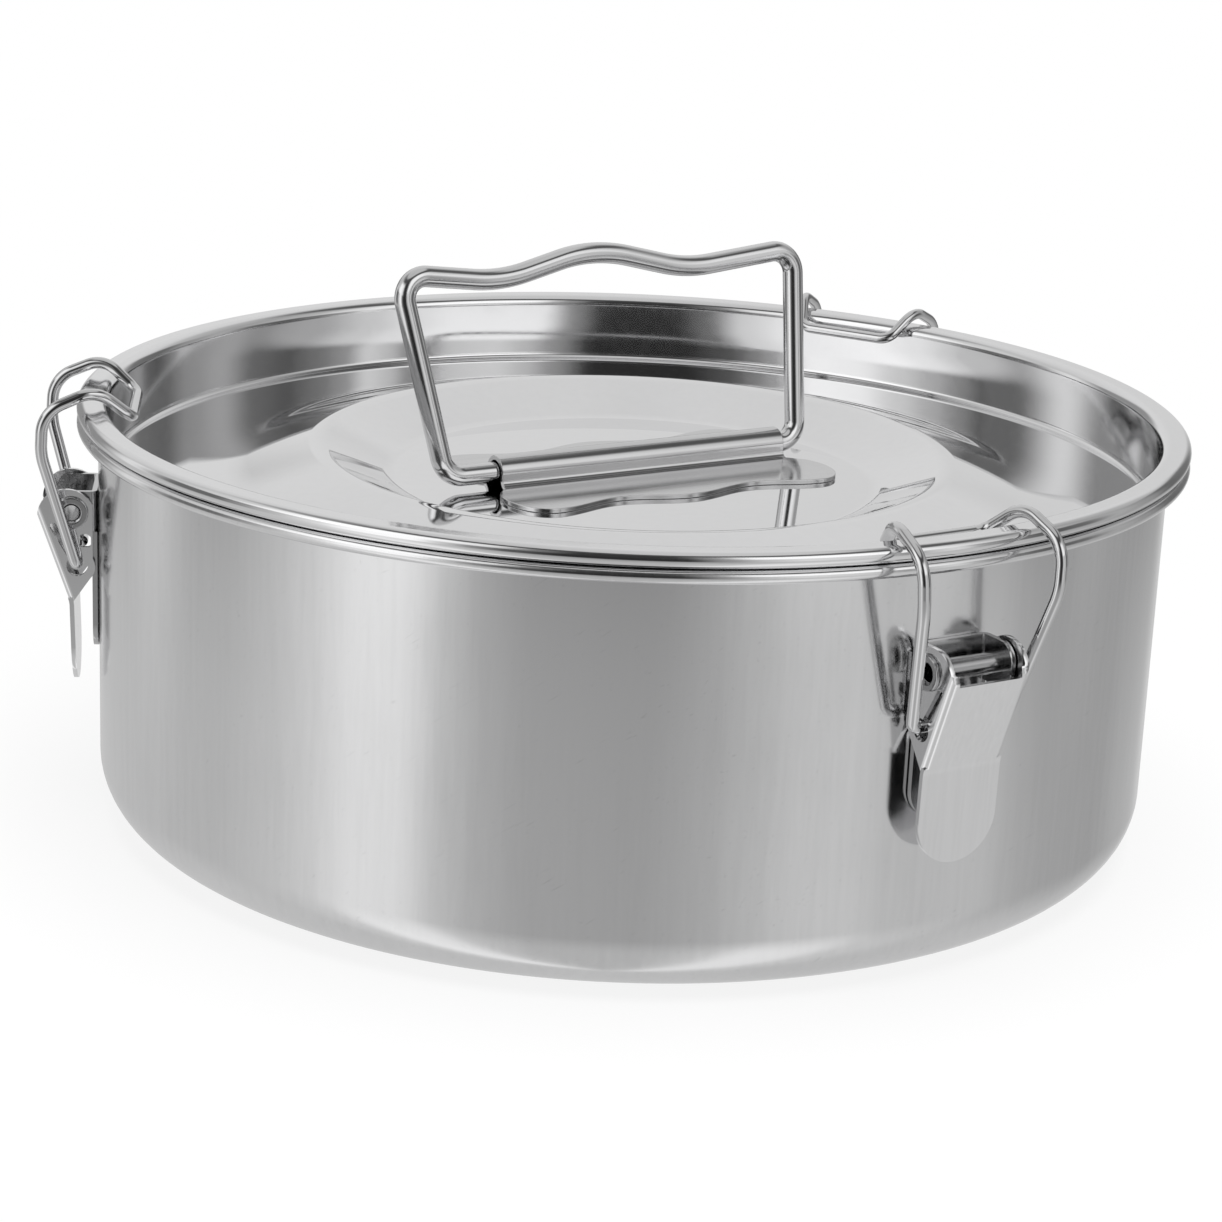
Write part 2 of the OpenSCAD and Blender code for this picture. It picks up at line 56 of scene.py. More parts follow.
# %% Camera
ELEVATION = radians(17.006)
DISTANCE = 572.8 * MM
AIM = Vector((0, 0, 36.7 * MM))
TURN = radians(0.270)
TILT = radians(-0.079)
ROLL = radians(2.561)
SENSOR = 36
FOCAL = 91.0


def camera_matrix():
    """Start level, looking along +Y. Lower the view by the elevation, then turn about the
    camera's up axis, tilt about its right axis, and roll about the line of sight."""
    right = Vector((1, 0, 0))
    sight = Matrix.Rotation(-ELEVATION, 3, "X") @ Vector((0, 1, 0))
    up = right.cross(sight)
    place = AIM - sight * DISTANCE
    turn = Matrix.Rotation(TURN, 3, up)
    right, sight = turn @ right, turn @ sight
    tilt = Matrix.Rotation(TILT, 3, right)
    up, sight = tilt @ up, tilt @ sight
    roll = Matrix.Rotation(-ROLL, 3, sight)
    right, up = roll @ right, roll @ up
    matrix = Matrix((right, up, -sight)).transposed().to_4x4()
    matrix.translation = place
    return matrix


lens = bpy.data.cameras.new("camera")
lens.sensor_fit = "HORIZONTAL"
lens.sensor_width = SENSOR
lens.lens = FOCAL
lens.clip_start = 0.01
camera = bpy.data.objects.new("camera", lens)
camera.matrix_world = camera_matrix()
bpy.context.collection.objects.link(camera)
bpy.context.scene.camera = camera
bpy.context.scene.view_settings.view_transform = "Standard"
print("camera at", tuple(round(v, 4) for v in camera.location))

# %% [markdown]
# Polished steel has almost no colour of its own: it shows the room. The room here is a
# studio whose brightness depends on the direction, written as six rings of soft panels
# from the floor up to the ceiling. The wall of the pan shows the rings below the horizon,
# the lid's wall and floor show the level and high ones, and a ring that is dark in front
# gives the dark band at the back of the lid. A picture of a real room would also work,
# but round numbers are easier to read and to change.

# %% Studio
# Each stop is a direction in degrees, counted from -X through the front (-Y is 90), and
# the brightness of the room there. The rings go from below to above.
UNDER = [(0, .60), (18, .68), (32, .98), (44, .92), (58, .60), (72, .52), (100, .52),
    (112, .62), (124, .92), (138, .90), (155, .66), (180, .58), (330, .60)]
BELOW = [(0, .56), (12, .60), (20, .68), (33, .86), (42, .86), (55, .56), (62, .47),
    (72, .41), (95, .39), (108, .44), (118, .52), (128, .61), (140, .64), (152, .56), (172, .57),
    (185, .46), (192, .42), (215, .39), (228, .46), (240, .50), (252, .64), (262, .72),
    (280, .62), (300, .58), (330, .57), (345, .54)]
LEVEL = [(0, .12), (8, .30), (15, .52), (25, .78), (36, 1.15), (48, 1.2), (54, .66),
    (60, .28), (68, .10), (78, .03), (101, .03), (110, .34), (117, .62), (124, .80), (138, .72),
    (146, .30), (151, .65), (157, .80), (163, .35), (171, .20), (180, .11), (190, .16),
    (202, .44), (214, .33), (226, .15), (240, .18), (256, .70), (282, .76), (293, .30),
    (316, .30), (332, .85), (350, .16)]
HIGH = [(0, .80), (12, 1.1), (24, 1.3), (45, 1.2), (60, .90), (70, .20), (80, .04), (100, .04),
    (108, .30), (118, 1.2), (140, 1.2), (155, 1.0), (165, .80), (180, .50), (200, .40),
    (225, .50), (245, .72), (258, .76), (285, .76), (310, .72), (335, .60), (350, .70)]
TOP = [(0, .25), (20, .12), (60, .08), (120, .08), (165, .10), (212, .12), (235, .50),
    (250, .74), (290, .74), (312, .70), (335, .40), (350, .28)]
CEILING = [(0, .62), (250, .66)]
RINGS = [UNDER, BELOW, LEVEL, HIGH, TOP, CEILING]
# Heights, as the sine of the elevation, between which one ring runs over into the next
BLENDS = [(-.78, -.34), (-.336, -.12), (.27, .38), (.66, .80), (.86, .93)]


def new_nodes(tree):
    """Empties a node tree and returns a short way to add a node with its settings."""
    tree.nodes.clear()

    def add(kind, **settings):
        node = tree.nodes.new(kind)
        for name, value in settings.items():
            setattr(node, name, value)
        return node
    return add


def ramp_stops(node, stops, span):
    """Puts (place, grey) stops on a colour ramp, with places given over a span."""
    elements = node.color_ramp.elements
    while len(elements) < len(stops):
        elements.new(0.5)
    for element, (place, grey) in zip(elements, stops):
        element.position = place / span
        element.color = (grey, grey, grey, 1)


def studio_world():
    """Grey as a function of the direction: its angle round Z picks a place on every ring,
    and its height blends each ring into the next one up."""
    world = bpy.data.worlds.new("studio")
    world.use_nodes = True
    tree = world.node_tree
    add = new_nodes(tree)
    link = tree.links.new
    direction = add("ShaderNodeTexCoord")
    split = add("ShaderNodeSeparateXYZ")
    link(direction.outputs["Generated"], split.inputs[0])
    angle = add("ShaderNodeMath", operation="ARCTAN2")
    link(split.outputs["Y"], angle.inputs[0])
    link(split.outputs["X"], angle.inputs[1])
    turn = add("ShaderNodeMapRange")
    turn.inputs["From Min"].default_value = -np.pi
    turn.inputs["From Max"].default_value = np.pi
    link(angle.outputs[0], turn.inputs["Value"])
    rings = []
    for stops in RINGS:
        ring = add("ShaderNodeValToRGB")
        ring.color_ramp.interpolation = "EASE"
        ramp_stops(ring, stops, 360)
        link(turn.outputs[0], ring.inputs[0])
        rings.append(ring.outputs[0])
    height = split.outputs["Z"]
    last = rings[0]
    for upper, (low, high) in zip(rings[1:], BLENDS):
        step = add("ShaderNodeMapRange", interpolation_type="SMOOTHSTEP")
        step.inputs["From Min"].default_value = low
        step.inputs["From Max"].default_value = high
        link(height, step.inputs["Value"])
        mix = add("ShaderNodeMix", data_type="RGBA")
        link(step.outputs[0], mix.inputs["Factor"])
        link(last, mix.inputs["A"])
        link(upper, mix.inputs["B"])
        last = mix.outputs["Result"]
    room = add("ShaderNodeBackground")
    link(last, room.inputs["Color"])
    white = add("ShaderNodeBackground")
    white.inputs["Color"].default_value = (1, 1, 1, 1)
    seen = add("ShaderNodeLightPath")
    pick = add("ShaderNodeMixShader")
    link(seen.outputs["Is Camera Ray"], pick.inputs[0])
    link(room.outputs[0], pick.inputs[1])
    link(white.outputs[0], pick.inputs[2])
    out = add("ShaderNodeOutputWorld")
    link(pick.outputs[0], out.inputs["Surface"])
    return world


bpy.context.scene.world = studio_world()
print("studio with", len(RINGS), "rings and", sum(len(ring) for ring in RINGS), "stops")

# %% [markdown]
# The pan stands on a pale table. It could be a curved paper sweep, but a flat sheet is
# enough here: its material mixes a plain white paint, which takes the pan's shadow, with
# a white glow that only the camera sees and that takes over away from the pan, so the
# table runs into the white background without an edge. The steel shows the studio's lower
# rings instead of the table: a real studio lays cards round such a pan for the same reason.

# %% Table and lamp
TABLE = 3.0  # half the table's width, in metres
TABLE_DROP = 0.0001  # keeps the table just clear of the pan's base
SHADOW = 0.16  # share of the lit paint that the camera sees near the pan
FADE = (0.10, 0.26)  # distances from the pan's axis over which that share fades out


def table_material():
    """Camera rays see white glow with a small share of lit paint, which fades out with the
    distance from the pan; all other rays see paint."""
    material = bpy.data.materials.new("white_table")
    material.use_nodes = True
    tree = material.node_tree
    add = new_nodes(tree)
    link = tree.links.new
    paint = add("ShaderNodeBsdfDiffuse")
    paint.inputs["Color"].default_value = (.9, .9, .9, 1)
    glow = add("ShaderNodeEmission")
    seen = add("ShaderNodeLightPath")
    place = add("ShaderNodeTexCoord")
    away = add("ShaderNodeVectorMath", operation="LENGTH")
    link(place.outputs["Object"], away.inputs[0])
    fade = add("ShaderNodeMapRange", interpolation_type="SMOOTHSTEP")
    fade.inputs["From Min"].default_value = FADE[0]
    fade.inputs["From Max"].default_value = FADE[1]
    fade.inputs["To Min"].default_value = 1 - SHADOW
    link(away.outputs["Value"], fade.inputs["Value"])
    share = add("ShaderNodeMath", operation="MULTIPLY")
    link(seen.outputs["Is Camera Ray"], share.inputs[0])
    link(fade.outputs[0], share.inputs[1])
    mix = add("ShaderNodeMixShader")
    link(share.outputs[0], mix.inputs[0])
    link(paint.outputs[0], mix.inputs[1])
    link(glow.outputs[0], mix.inputs[2])
    out = add("ShaderNodeOutputMaterial")
    link(mix.outputs[0], out.inputs["Surface"])
    return material


table_mesh = bpy.data.meshes.new("table")
corners = np.array([(-1, -1, 0), (1, -1, 0), (1, 1, 0), (-1, 1, 0)]) * TABLE
table_mesh.from_pydata(corners - (0, 0, TABLE_DROP), [], [(0, 1, 2, 3)])
table_mesh.materials.append(table_material())
table = bpy.data.objects.new("table", table_mesh)
bpy.context.collection.objects.link(table)
table.visible_glossy = False

# A wide soft lamp over the pan only lights the table: the steel's light is the studio
lamp_data = bpy.data.lights.new("soft_lamp", "AREA")
lamp_data.shape = "DISK"
lamp_data.size = 0.9
lamp_data.energy = 9
lamp = bpy.data.objects.new("soft_lamp", lamp_data)
lamp.location = (0.1, -0.2, 1.0)
lamp.rotation_euler = (radians(-11), radians(6), 0)
lamp.visible_glossy = False
bpy.context.collection.objects.link(lamp)
print("table", TABLE * 2, "m wide, lamp", lamp_data.size, "m across")

# %% [markdown]
# Every sheet and wire here is a path with rounded corners. A path could be drawn as a
# Bezier curve, but a bent sheet or wire is made of straights and true arcs, so this
# function works out both, and the direction of the path at every point. The directions
# give exact surface normals, which a mirror finish needs: it shows every wrong one.

# %% Bent paths
def unit(v):
    """The same directions, each one long."""
    return v / np.linalg.norm(v, axis=-1, keepdims=True)


SAME_PLACE = 1e-6  # points closer than this, in metres, are one point


def bend_path(corners, bends, closed=False, steps=14):
    """Rounds the corners of a path. With u and w the directions from a corner to its two
    neighbours, the arc's centre lies on their bisector, the radius divided by the sine of
    half the angle away, and the direction turns evenly from -u to w."""
    c = np.array(corners, float) * MM
    points, ways = [], []
    for i, r in enumerate(np.array(bends, float) * MM):
        before, after = c[i - 1] - c[i], c[(i + 1) % len(c)] - c[i]
        if not closed and i in (0, len(c) - 1):
            points.append(c[i:i + 1])
            ways.append(unit(after if i == 0 else -before)[None])
            continue
        u, w = unit(before), unit(after)
        half = np.arccos(u @ w) / 2
        centre = c[i] + unit(u + w) * r / np.sin(half)
        out = unit(c[i] + u * r / np.tan(half) - centre)
        g = np.linspace(0, np.pi - 2 * half, steps + 1)[:, None]
        points.append(centre + r * (np.cos(g) * out - np.sin(g) * u))
        ways.append(-np.sin(g) * out - np.cos(g) * u)
    points, ways = np.concatenate(points), np.concatenate(ways)
    # A point that lies on the one before it goes. An open path's first point has none
    # before it, and is compared with a place far away.
    last = np.roll(points, 1, axis=0) if closed else np.vstack([points[:1] + 1, points[:-1]])
    keep = np.linalg.norm(points - last, axis=1) > SAME_PLACE
    return points[keep], ways[keep]


def new_piece(name, points, faces, normals, node, body):
    """Makes the mesh, gives it its exact normals, and lets it ride for its CAD node."""
    mesh = bpy.data.meshes.new(name)
    mesh.from_pydata(points, [], faces)
    mesh.validate()
    mesh.shade_smooth()
    if normals is not None:
        mesh.normals_split_custom_set_from_vertices(normals)
    piece = bpy.data.objects.new(name, mesh)
    bpy.context.collection.objects.link(piece)
    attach(piece, body)
    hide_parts(node)
    print(name, len(points), "points,", len(faces), "faces")
    return piece


trial, _ = bend_path([(0, 0), (10, 0), (10, 10)], [0, 4, 0])
print("a trial corner takes", len(trial), "points")

# %% [markdown]
# The pan and the lid are spun shapes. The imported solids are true, but their round walls
# come as flat strips, and a mirror shows each strip. A Screw modifier could spin a profile,
# yet its normals still lean at each bend, so the rings are worked out here: a sheet's two
# sides are its middle line moved out and in by half its thickness, carried round Z.

# %% Spun sheets
def spun_sheet(name, corners, bends, thickness, node, turns=288):
    """Point (r, z) of the sheet's outline at angle a goes to (r cos a, r sin a, z). The
    outline runs out along the lower side, and back to the axis along the upper side."""
    middle, way = bend_path(corners, bends)
    side = np.stack([-way[:, 1], way[:, 0]], axis=1)
    half = thickness * MM / 2
    outline = np.concatenate([middle - side * half, (middle + side * half)[::-1]])
    facing = np.concatenate([-side, side[::-1]])
    a = np.arange(turns) * 2 * np.pi / turns
    ring, ring_out = outline[1:-1], facing[1:-1]

    def spin(rz):
        return np.stack([np.outer(np.cos(a), rz[:, 0]), np.outer(np.sin(a), rz[:, 0]),
            np.tile(rz[:, 1], (turns, 1))], axis=-1).reshape(-1, 3)
    n = len(ring)
    low, high = turns * n, turns * n + 1
    points = np.vstack([spin(ring), [(0, 0, outline[0, 1]), (0, 0, outline[-1, 1])]])
    normals = np.vstack([spin(ring_out), [(0, 0, -1), (0, 0, 1)]])
    i, j = np.meshgrid(np.arange(turns), np.arange(n - 1), indexing="ij")
    k = (i + 1) % turns
    quads = np.stack([i * n + j, k * n + j, k * n + j + 1, i * n + j + 1], axis=-1)
    first = np.arange(turns) * n
    following = np.roll(first, -1)
    base = np.stack([np.full(turns, low), following, first], axis=1)
    top = np.stack([np.full(turns, high), first + n - 1, following + n - 1], axis=1)
    faces = quads.reshape(-1, 4).tolist() + base.tolist() + top.tolist()
    return new_piece(name, points, faces, normals, node, "root")


# %% Pan
# Sizes of the part's own sheets, in millimetres
WALL_R, RIM_R, PAN_H = 96.3, 100.0, 73.2
PAN_T, LID_T = .7, .7
PAN_RIM_H, RIM_TUCK = 2.3, .8
BASE_BEND, PAN_RIM_BEND, CURL_BEND = 11, 1.05, .8
CURL_R = WALL_R + RIM_TUCK
pan_wall = WALL_R - PAN_T / 2
pan_top, pan_lip = PAN_H - PAN_T / 2, PAN_H - PAN_RIM_H + PAN_T / 2
pan_shell = spun_sheet("pan_shell",
    [(0, PAN_T / 2), (pan_wall, PAN_T / 2), (pan_wall, pan_top), (RIM_R - PAN_T / 2, pan_top),
     (RIM_R - PAN_T / 2, pan_lip), (CURL_R, pan_lip)],
    [0, BASE_BEND - PAN_T / 2, PAN_RIM_BEND, CURL_BEND, CURL_BEND, 0], PAN_T, "pan")

# %% [markdown]
# The lid is one pressed sheet: a rim that lies on the pan's rim, a wall that hangs into the
# pan, a floor, and a raised ring round a flat disc for the handle. It could be cut from the
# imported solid, but its mirror would show every facet, so it is spun like the pan. The
# ring's outer side is one long slope, because a steep one would show twice in the wall.

# %% Lid
RIM_GAP, LID_RIM_H, LID_GAP = .1, 2.8, .4
RECESS, DISC_DROP = 13.1, .9
DISC_R, CREST_R, CREST_H, SLOPE_R = 44.5, 57.2, 4.8, 75
DISC_BEND, CREST_BEND, SLOPE_BEND, FOOT_BEND = 6, 5, 40, 1.5
LID_RIM_BEND, LID_CURL_BEND = 1.65, 1.05
LID_TOP = PAN_H + RIM_GAP + LID_RIM_H
FLOOR = LID_TOP - RECESS
DISC = FLOOR - DISC_DROP
lid_wall = WALL_R - PAN_T - LID_GAP - LID_T / 2
half = LID_T / 2
lid_lip = PAN_H + RIM_GAP + half
lid_shell = spun_sheet("lid_shell",
    [(0, DISC - half), (DISC_R, DISC - half), (CREST_R, FLOOR + CREST_H - half),
     (SLOPE_R, FLOOR - half), (lid_wall, FLOOR - half), (lid_wall, LID_TOP - half),
     (RIM_R - half, LID_TOP - half), (RIM_R - half, lid_lip), (CURL_R, lid_lip)],
    [0, DISC_BEND, CREST_BEND, SLOPE_BEND, FOOT_BEND, LID_RIM_BEND, LID_CURL_BEND,
     LID_CURL_BEND, 0], LID_T, "lid")

# %% [markdown]
# The handle's bail and the three loops are bent round wire. A curve with a round bevel is
# the usual way, but its rings twist where a wire bends in space. Here each ring is a
# circle square to the path, and starts on the side that faces away from a fixed point in
# the middle of the arch, so the rings never twist. The point's place round the wire and
# along it is stored for the wire's drawing marks.

# %% Bent wires
def bent_wire(name, corners, bends, diameter, middle, node, body, place, closed=False,
              sides=24):
    """Ring point at angle g: the path's point, plus the radius times (cos g out + sin g
    across), where out points away from the middle and across is square to both."""
    path, way = bend_path(corners, bends, closed, steps=16)
    r = diameter * MM / 2
    away = path - np.array(middle) * MM
    out = unit(away - (away * way).sum(axis=1, keepdims=True) * way)
    across = np.cross(way, out)
    g = np.arange(sides) * 2 * np.pi / sides
    normals = out[:, None] * np.cos(g)[:, None] + across[:, None] * np.sin(g)[:, None]
    points = path[:, None] + normals * r
    along = np.concatenate([[0], np.cumsum(np.linalg.norm(np.diff(path, axis=0), axis=1))])
    grain = np.stack(np.broadcast_arrays(np.cos(g)[None] * r, np.sin(g)[None] * r,
        along[:, None]), axis=-1).reshape(-1, 3)
    n = len(path)
    rows = n if closed else n - 1
    i, j = np.meshgrid(np.arange(rows), np.arange(sides), indexing="ij")
    k, m = (i + 1) % n, (j + 1) % sides
    faces = np.stack([i * sides + j, i * sides + m, k * sides + m, k * sides + j],
        axis=-1).reshape(-1, 4).tolist()
    points, normals = points.reshape(-1, 3), normals.reshape(-1, 3)
    if not closed:
        first, last = n * sides, n * sides + 1
        ring = np.arange(sides)
        after = (ring + 1) % sides
        end = (n - 1) * sides
        faces += np.stack([np.full(sides, first), after, ring], axis=1).tolist()
        faces += np.stack([np.full(sides, last), end + ring, end + after], axis=1).tolist()
        points = np.vstack([points, path[[0, -1]]])
        normals = np.vstack([normals, -way[:1], way[-1:]])
        grain = np.vstack([grain, (0, 0, 0), (0, 0, along[-1])])
    turn, shift = place[:, :3], place[:, 3]
    piece = new_piece(name, points @ turn.T + shift, faces, normals @ turn.T, node, body)
    marks = piece.data.attributes.new("grain", "FLOAT_VECTOR", "POINT")
    marks.data.foreach_set("vector", grain.ravel())
    return piece


def turned(azimuth, x=0, y=0, z=0):
    """A turn by the azimuth about Z, and a shift, as three rows of four numbers."""
    c, s = np.cos(radians(azimuth)), np.sin(radians(azimuth))
    return np.array([(c, -s, 0, x * MM), (s, c, 0, y * MM), (0, 0, 1, z * MM)])


# %% Bail
# Drawn upright over its hinge line, slid along it, then leant back
HANDLE_AZ, HANDLE_X, HANDLE_Y = 31.5, 1.1, 2.8
BAIL_D, BAIL_W, BAIL_TOP_W, BAIL_H = 3.8, 74.5, 82.7, 36.2
HINGE_LIFT, BAIL_SLIDE, BAIL_LEAN = .8, -2.75, 12
BAIL_BEND, GRIP_BEND, GRIP_WAVE = 4, 30, 2.4
TOP_SKEW, WAVE_SKEW, DIP_PLACE = -2.1, -4.1, .47
HINGE_Z = DISC + BAIL_D / 2 + HINGE_LIFT
foot, top, dip = BAIL_W / 2, BAIL_TOP_W / 2, BAIL_TOP_W / 2 * DIP_PLACE
low, crest = BAIL_H - GRIP_WAVE, BAIL_H + GRIP_WAVE
lean = radians(BAIL_LEAN)
upright = turned(HANDLE_AZ, HANDLE_X, HANDLE_Y, HINGE_Z)
leant = np.array([(1, 0, 0), (0, np.cos(lean), np.sin(lean)), (0, -np.sin(lean), np.cos(lean))])
bail_place = np.column_stack([upright[:, :3] @ leant,
    upright[:, :3] @ (BAIL_SLIDE * MM, 0, 0) + upright[:, 3]])
bail_wire = bent_wire("bail_wire",
    [(-foot, 0, 0), (foot, 0, 0), (TOP_SKEW + top, 0, BAIL_H), (WAVE_SKEW + dip, 0, low),
     (WAVE_SKEW, 0, crest), (WAVE_SKEW - dip, 0, low), (TOP_SKEW - top, 0, BAIL_H)],
    [BAIL_BEND, BAIL_BEND, BAIL_BEND, GRIP_BEND, GRIP_BEND, GRIP_BEND, BAIL_BEND],
    BAIL_D, (0, 0, BAIL_H / 2), "handle_bail", "bail", bail_place, closed=True)

# %% [markdown]
# Each latch has a wire loop that turns in the lever and hooks over the lid's rim. One half
# of it is six corners, from its end in the lever's eye up to the middle of the hook, and
# the other half is the mirror of that. All three could be drawn in place, but they are one
# shape, so it is drawn once on the X axis and turned round Z to each latch.

# %% Latch loops
LATCHES = {"front": 302.5, "rear": 61.7, "left": 186.6}
PIVOT_OUT, BRACKET_DROP, PIVOT_DROP = 4.5, 14, 3.65
EYE_IN, EYE_DROP = .9, 9.25
BRACKET_W, SIDE_GAP, LEVER_T = 13.3, .25, .8
LOOP_D, LOOP_CLEAR, LOOP_SPREAD = 2.1, .73, 4.1
PIVOT_R, PIVOT_Z = WALL_R + PIVOT_OUT, PAN_H - BRACKET_DROP - PIVOT_DROP
EYE_R, EYE_Z = PIVOT_R - EYE_IN, PIVOT_Z - EYE_DROP
LEVER_IN = BRACKET_W / 2 + SIDE_GAP
LEG = LEVER_IN + LEVER_T + LOOP_CLEAR + LOOP_D / 2
LID_IN = lid_wall - LID_T / 2
wide = LEG + LOOP_SPREAD
half_loop = np.array([
    (EYE_R, LEVER_IN - .4, EYE_Z),                                  # end, inside the lever
    (EYE_R, LEG, EYE_Z),                                            # beside the lever
    (RIM_R + 5.6, wide - .35, PAN_H - 5.6),                         # below the rims
    (RIM_R + 5.2, wide, LID_TOP - .9),                              # beside the lid's rim
    ((RIM_R + LID_IN) / 2 - 1.2, wide - .9, LID_TOP + 2 + LOOP_D / 2),  # over the rim
    (LID_IN - 4.6, LEG + .3, LID_TOP - 2.4)])                       # inside the lid's wall
half_bends = [0, 1.6, 12, 6, 5, 3]
loop_corners = np.vstack([half_loop, (half_loop * (1, -1, 1))[::-1]])
loop_middle = (RIM_R, 0, PAN_H - 10)  # the rings start on the side away from here
loop_wires = {}
for latch, azimuth in LATCHES.items():
    loop_wires[latch] = bent_wire(latch + "_loop_wire", loop_corners,
        half_bends + half_bends[::-1], LOOP_D, loop_middle, latch + "_loop", latch + "_loop",
        turned(azimuth))

# %% [markdown]
# The strap is one strip bent over the hinge rod, with wavy feet. It could be a plane with
# a Solidify modifier, but its wavy outline and its round barrel are easier as bands: a row
# of four points, the corners of the strip's cut, is carried along a line. For the barrel
# that line is the strip's bent profile, and for a foot it is the wavy outline, ruled back
# to the barrel. A narrow bevel takes the sharpness off the cut edges.

# %% Strap barrel
def band(rows):
    """Points and faces of a strip whose cut, row by row, is four corners, with both ends
    closed by a face. Rows may share corners: such points are kept once, and a face that
    loses a side to that has one corner less."""
    n = len(rows)
    i, j = np.meshgrid(np.arange(n - 1), np.arange(4), indexing="ij")
    k = (j + 1) % 4
    faces = np.stack([i * 4 + j, (i + 1) * 4 + j, (i + 1) * 4 + k, i * 4 + k], axis=-1)
    ends = [[0, 1, 2, 3], [n * 4 - 1, n * 4 - 2, n * 4 - 3, n * 4 - 4]]
    points, kept = np.unique(rows.reshape(-1, 3), axis=0, return_inverse=True)
    around = kept.ravel()[np.vstack([faces.reshape(-1, 4), ends])].tolist()
    around = [list(dict.fromkeys(face)) for face in around]
    return points, [face for face in around if len(face) > 2]


STRAP_T, BARREL_L, BARREL_GAP, STRAP_BEND = .85, 60, .3, 1.4
LIFT = .02  # keeps the strap just clear of the disc
ROOT = 4.2  # where a foot starts, beside the barrel's middle
barrel_mid = BAIL_D / 2 + BARREL_GAP + STRAP_T / 2
barrel_top = HINGE_Z + barrel_mid
foot_z = DISC + STRAP_T / 2 + LIFT
profile, way = bend_path([(-ROOT, foot_z), (-barrel_mid, foot_z), (-barrel_mid, barrel_top),
    (barrel_mid, barrel_top), (barrel_mid, foot_z), (ROOT, foot_z)],
    [0, STRAP_BEND, barrel_mid, barrel_mid, STRAP_BEND, 0], steps=20)
side = np.stack([-way[:, 1], way[:, 0]], axis=1) * STRAP_T / 2 * MM
end = BARREL_L / 2 * MM
upper, lower = profile + side, profile - side
barrel_rows = np.stack([np.column_stack([np.full(len(p), s), p]) for p, s in
    ((upper, -end), (upper, end), (lower, end), (lower, -end))], axis=1)
print("barrel", len(barrel_rows), "rows,", round(2 * barrel_mid + STRAP_T, 2), "mm across")

# %% Strap feet
# The outline of a foot: a lobe at each end, and a wave with two dips between them
STRAP_W, WAVE_DEPTH, LOBE_REACH, LOBE_R = 40, 1.5, 3.8, 8.2
LOBE_PLACE = .92  # of half the barrel's length
LOBE_TURN = (88, -40)  # degrees, from the wave round to the barrel's end
WAVE_POINTS, LOBE_POINTS = 25, 22
pitch = LOBE_PLACE * BARREL_L / 2
reach = BARREL_L / 2 + LOBE_REACH - pitch
s = np.linspace(0, pitch, WAVE_POINTS)
wave_edge = np.stack([s, STRAP_W / 2 - WAVE_DEPTH * (1 - np.cos(2 * np.pi * s / pitch))], axis=1)
g = np.radians(np.linspace(*LOBE_TURN, LOBE_POINTS))
lobe_edge = np.stack([pitch + reach * np.cos(g), STRAP_W / 2 - LOBE_R + LOBE_R * np.sin(g)],
    axis=1)
half_edge = np.vstack([wave_edge, lobe_edge, [(BARREL_L / 2, ROOT)]])
edge = np.vstack([(half_edge * (-1, 1))[::-1], half_edge[1:]]) * MM
spine = np.column_stack([np.clip(edge[:, 0], -end, end), np.full(len(edge), ROOT * MM)])
foot_top, foot_low = (foot_z + STRAP_T / 2) * MM, (foot_z - STRAP_T / 2) * MM


def foot_rows(edge, spine):
    """Rows of a foot's four corners: upper spine, upper edge, lower edge, lower spine."""
    return np.stack([np.column_stack([p, np.full(len(p), z)]) for p, z in
        ((spine, foot_top), (edge, foot_top), (edge, foot_low), (spine, foot_low))], axis=1)


other = np.array((1, -1))
parts = [band(barrel_rows[::-1]), band(foot_rows(edge, spine)),
    band(foot_rows((edge * other)[::-1], (spine * other)[::-1]))]
print("strap of", len(parts), "bands,", STRAP_W, "mm wide")

# %% Strap sheet
STRAP_EDGE = .16  # width of the rounding on its cut edges
STRAP_SMOOTH = radians(32)  # faces that meet under this angle are shaded as one
STRAP_SHARP = radians(40)  # edges over this angle are rounded
strap_points, strap_faces = np.zeros((0, 3)), []
for points, faces in parts:
    strap_faces += [[v + len(strap_points) for v in face] for face in faces]
    strap_points = np.vstack([strap_points, points])
place = turned(HANDLE_AZ, HANDLE_X, HANDLE_Y)
strap = new_piece("strap_sheet", strap_points @ place[:, :3].T + place[:, 3], strap_faces,
    None, "handle_strap", "root")
strap.data.set_sharp_from_angle(angle=STRAP_SMOOTH)
rounding = strap.modifiers.new("rounding", "BEVEL")
rounding.width = STRAP_EDGE * MM
rounding.segments = 2
rounding.limit_method = "ANGLE"
rounding.angle_limit = STRAP_SHARP
rounding.harden_normals = True

# %% [markdown]
# The brackets, pins and levers are stamped and turned parts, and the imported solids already
# have their folds, holes and eyes. What they lack is the fine rounding of every cut edge,
# which catches the light. They could be drawn anew, but a copy keeps every hole in its
# place: its loose triangles are merged, its flat faces joined, and a narrow bevel rounds
# the sharp edges. Weighting the normals by face area keeps the flat faces flat, so only
# the edges and the folds look round.

# %% Stamped parts
SHEET_EDGE, PIN_EDGE = .10, .12  # widths of the rounding, in millimetres
FLAT = radians(.5)  # faces that meet under this angle are joined
SHARP = radians(35)  # edges over this angle are rounded


